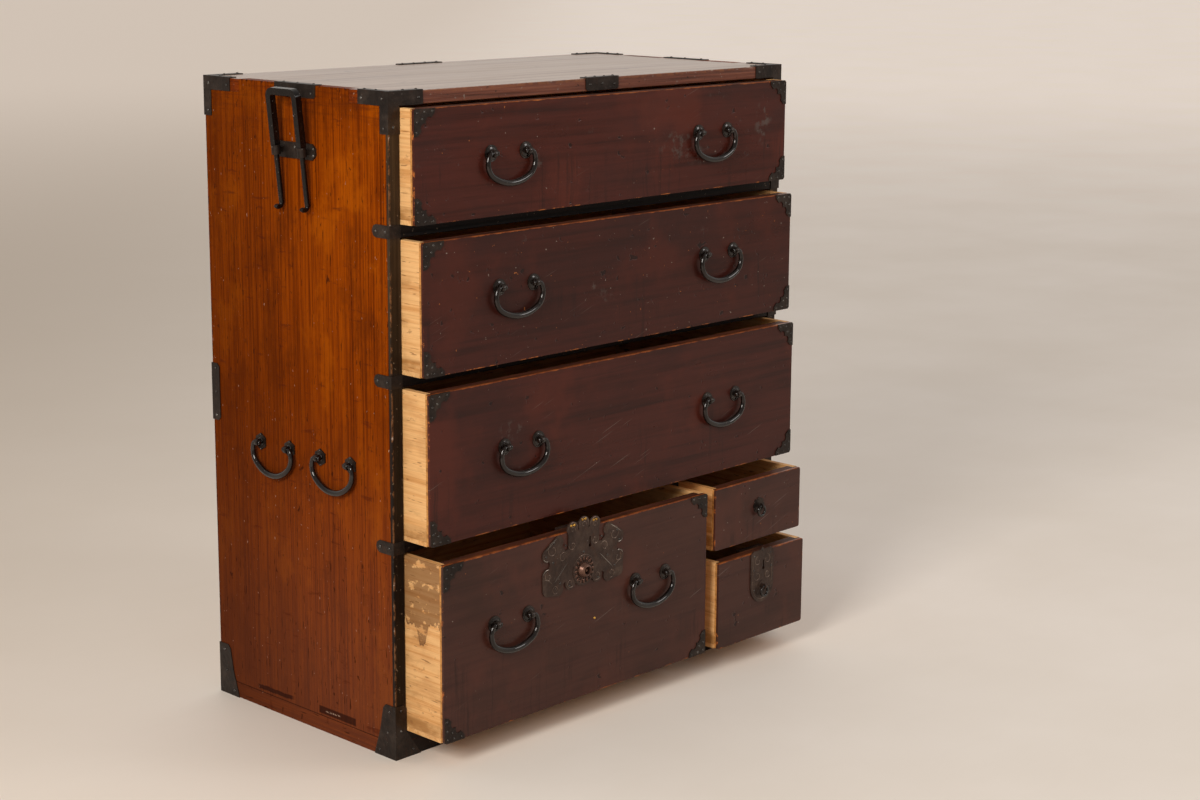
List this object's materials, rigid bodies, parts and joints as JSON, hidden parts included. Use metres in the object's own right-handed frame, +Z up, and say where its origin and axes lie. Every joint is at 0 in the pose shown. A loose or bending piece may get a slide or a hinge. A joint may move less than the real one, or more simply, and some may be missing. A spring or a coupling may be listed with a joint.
{
  "type": "chest of drawers",
  "caption": "Upright clothing chest: box-jointed wooden case, wide and narrow drawers, iron straps and corner irons, drop bails, lock plates and sliding carrying handles.",
  "frame": {"origin": "centre of the case's underside, on the floor", "axes": "+Z up, the drawers open towards -Y, +X to the right as seen from the front"},
  "size_m": [0.933, 0.5366, 1.0015],
  "materials": {
    "side_wood": "orange-brown lacquer over vertical grain",
    "top_wood": "satin red-brown lacquer, worn at the edges",
    "black_wood": "black lacquer with worn edges",
    "front_lacquer": "dark red-brown lacquer, worn and scratched",
    "plain_wood": "bare softwood, waxed by use",
    "iron": "blackened forged iron",
    "plate_iron": "patinated sheet iron"
  },
  "bodies": {
    "case": {"side_board_left": "side_wood", "side_board_right": "side_wood", "top_board": "top_wood", "bottom_board": "side_wood", "back_planks": "plain_wood", "stile_facings": "black_wood", "front_rails": "black_wood", "dust_boards": "plain_wood", "runners": "plain_wood", "divider": "black_wood", "small_shelf": "black_wood", "top_corner_irons": "iron", "base_corner_irons": "iron", "edge_straps": "iron", "side_irons_left": "iron", "side_irons_right": "iron"},
    "top_drawer": {"top_drawer_front": "front_lacquer", "top_drawer_box": "plain_wood", "top_drawer_floor": "plain_wood", "top_drawer_irons": "iron"},
    "top_bail_left": {"top_bail_left": "iron"},
    "top_bail_right": {"top_bail_right": "iron"},
    "second_drawer": {"second_drawer_front": "front_lacquer", "second_drawer_box": "plain_wood", "second_drawer_floor": "plain_wood", "second_drawer_irons": "iron"},
    "second_bail_left": {"second_bail_left": "iron"},
    "second_bail_right": {"second_bail_right": "iron"},
    "third_drawer": {"third_drawer_front": "front_lacquer", "third_drawer_box": "plain_wood", "third_drawer_floor": "plain_wood", "third_drawer_irons": "iron"},
    "third_bail_left": {"third_bail_left": "iron"},
    "third_bail_right": {"third_bail_right": "iron"},
    "wide_drawer": {"wide_drawer_front": "front_lacquer", "wide_drawer_box": "plain_wood", "wide_drawer_floor": "plain_wood", "wide_drawer_irons": "iron", "wide_lock": "plate_iron"},
    "wide_bail_left": {"wide_bail_left": "iron"},
    "wide_bail_right": {"wide_bail_right": "iron"},
    "wide_lock_bolt": {"wide_lock_bolt": "iron"},
    "narrow_drawer": {"narrow_drawer_front": "front_lacquer", "narrow_drawer_box": "plain_wood", "narrow_drawer_floor": "plain_wood", "narrow_drawer_irons": "iron"},
    "narrow_ring": {"narrow_ring": "iron"},
    "small_drawer": {"small_drawer_front": "front_lacquer", "small_drawer_box": "plain_wood", "small_drawer_floor": "plain_wood", "small_drawer_irons": "plate_iron"},
    "small_ring": {"small_ring": "iron"},
    "small_lock_bolt": {"small_lock_bolt": "iron"},
    "carry_handle_left": {"carry_handle_left": "iron"},
    "side_bail_left_front": {"side_bail_left_front": "iron"},
    "side_bail_left_rear": {"side_bail_left_rear": "iron"},
    "carry_handle_right": {"carry_handle_right": "iron"},
    "side_bail_right_front": {"side_bail_right_front": "iron"},
    "side_bail_right_rear": {"side_bail_right_rear": "iron"}
  },
  "joints": [
    {"name": "top_drawer_slide", "type": "slide", "parent": "case", "child": "top_drawer", "axis": [0, -1, 0], "range_m": [-0.0295, 0.27]},
    {"name": "top_bail_left_hinge", "type": "hinge", "parent": "top_drawer", "child": "top_bail_left", "pos_m": [-0.2305, -0.254, 0.9038], "axis": [-1, 0, 0], "range_deg": [-3, 95]},
    {"name": "top_bail_right_hinge", "type": "hinge", "parent": "top_drawer", "child": "top_bail_right", "pos_m": [0.2305, -0.254, 0.9038], "axis": [-1, 0, 0], "range_deg": [-3, 95]},
    {"name": "second_drawer_slide", "type": "slide", "parent": "case", "child": "second_drawer", "axis": [0, -1, 0], "range_m": [-0.046, 0.2535]},
    {"name": "second_bail_left_hinge", "type": "hinge", "parent": "second_drawer", "child": "second_bail_left", "pos_m": [-0.2305, -0.2705, 0.7065], "axis": [-1, 0, 0], "range_deg": [-3, 95]},
    {"name": "second_bail_right_hinge", "type": "hinge", "parent": "second_drawer", "child": "second_bail_right", "pos_m": [0.2305, -0.2705, 0.7065], "axis": [-1, 0, 0], "range_deg": [-3, 95]},
    {"name": "third_drawer_slide", "type": "slide", "parent": "case", "child": "third_drawer", "axis": [0, -1, 0], "range_m": [-0.0565, 0.243]},
    {"name": "third_bail_left_hinge", "type": "hinge", "parent": "third_drawer", "child": "third_bail_left", "pos_m": [-0.2305, -0.281, 0.4656], "axis": [-1, 0, 0], "range_deg": [-3, 95]},
    {"name": "third_bail_right_hinge", "type": "hinge", "parent": "third_drawer", "child": "third_bail_right", "pos_m": [0.2305, -0.281, 0.4656], "axis": [-1, 0, 0], "range_deg": [-3, 95]},
    {"name": "wide_drawer_slide", "type": "slide", "parent": "case", "child": "wide_drawer", "axis": [0, -1, 0], "range_m": [-0.0835, 0.216]},
    {"name": "wide_bail_left_hinge", "type": "hinge", "parent": "wide_drawer", "child": "wide_bail_left", "pos_m": [-0.27825, -0.308, 0.2053], "axis": [-1, 0, 0], "range_deg": [-3, 95]},
    {"name": "wide_bail_right_hinge", "type": "hinge", "parent": "wide_drawer", "child": "wide_bail_right", "pos_m": [0.03075, -0.308, 0.2053], "axis": [-1, 0, 0], "range_deg": [-3, 95]},
    {"name": "wide_lock_bolt_slide", "type": "slide", "parent": "wide_drawer", "child": "wide_lock_bolt", "axis": [0, 0, 1], "range_m": [0, 0.009]},
    {"name": "narrow_drawer_slide", "type": "slide", "parent": "case", "child": "narrow_drawer", "axis": [0, -1, 0], "range_m": [-0.081, 0.2185]},
    {"name": "narrow_ring_hinge", "type": "hinge", "parent": "narrow_drawer", "child": "narrow_ring", "pos_m": [0.30475, -0.305, 0.2696], "axis": [-1, 0, 0], "range_deg": [-8, 100]},
    {"name": "small_drawer_slide", "type": "slide", "parent": "case", "child": "small_drawer", "axis": [0, -1, 0], "range_m": [-0.0905, 0.209]},
    {"name": "small_ring_hinge", "type": "hinge", "parent": "small_drawer", "child": "small_ring", "pos_m": [0.30475, -0.3145, 0.1303], "axis": [-1, 0, 0], "range_deg": [-8, 100]},
    {"name": "small_lock_bolt_slide", "type": "slide", "parent": "small_drawer", "child": "small_lock_bolt", "axis": [0, 0, 1], "range_m": [0, 0.009]},
    {"name": "carry_handle_left_slide", "type": "slide", "parent": "case", "child": "carry_handle_left", "axis": [-0.1045, 0, 0.9945], "range_m": [0, 0.069]},
    {"name": "side_bail_left_front_hinge", "type": "hinge", "parent": "case", "child": "side_bail_left_front", "pos_m": [-0.4455, -0.086, 0.44], "axis": [0, 1, 0], "range_deg": [-3, 95]},
    {"name": "side_bail_left_rear_hinge", "type": "hinge", "parent": "case", "child": "side_bail_left_rear", "pos_m": [-0.4455, 0.059, 0.44], "axis": [0, 1, 0], "range_deg": [-3, 95]},
    {"name": "carry_handle_right_slide", "type": "slide", "parent": "case", "child": "carry_handle_right", "axis": [0.1045, 0, 0.9945], "range_m": [0, 0.069]},
    {"name": "side_bail_right_front_hinge", "type": "hinge", "parent": "case", "child": "side_bail_right_front", "pos_m": [0.4455, -0.086, 0.44], "axis": [0, -1, 0], "range_deg": [-3, 95]},
    {"name": "side_bail_right_rear_hinge", "type": "hinge", "parent": "case", "child": "side_bail_right_rear", "pos_m": [0.4455, 0.059, 0.44], "axis": [0, -1, 0], "range_deg": [-3, 95]}
  ]
}
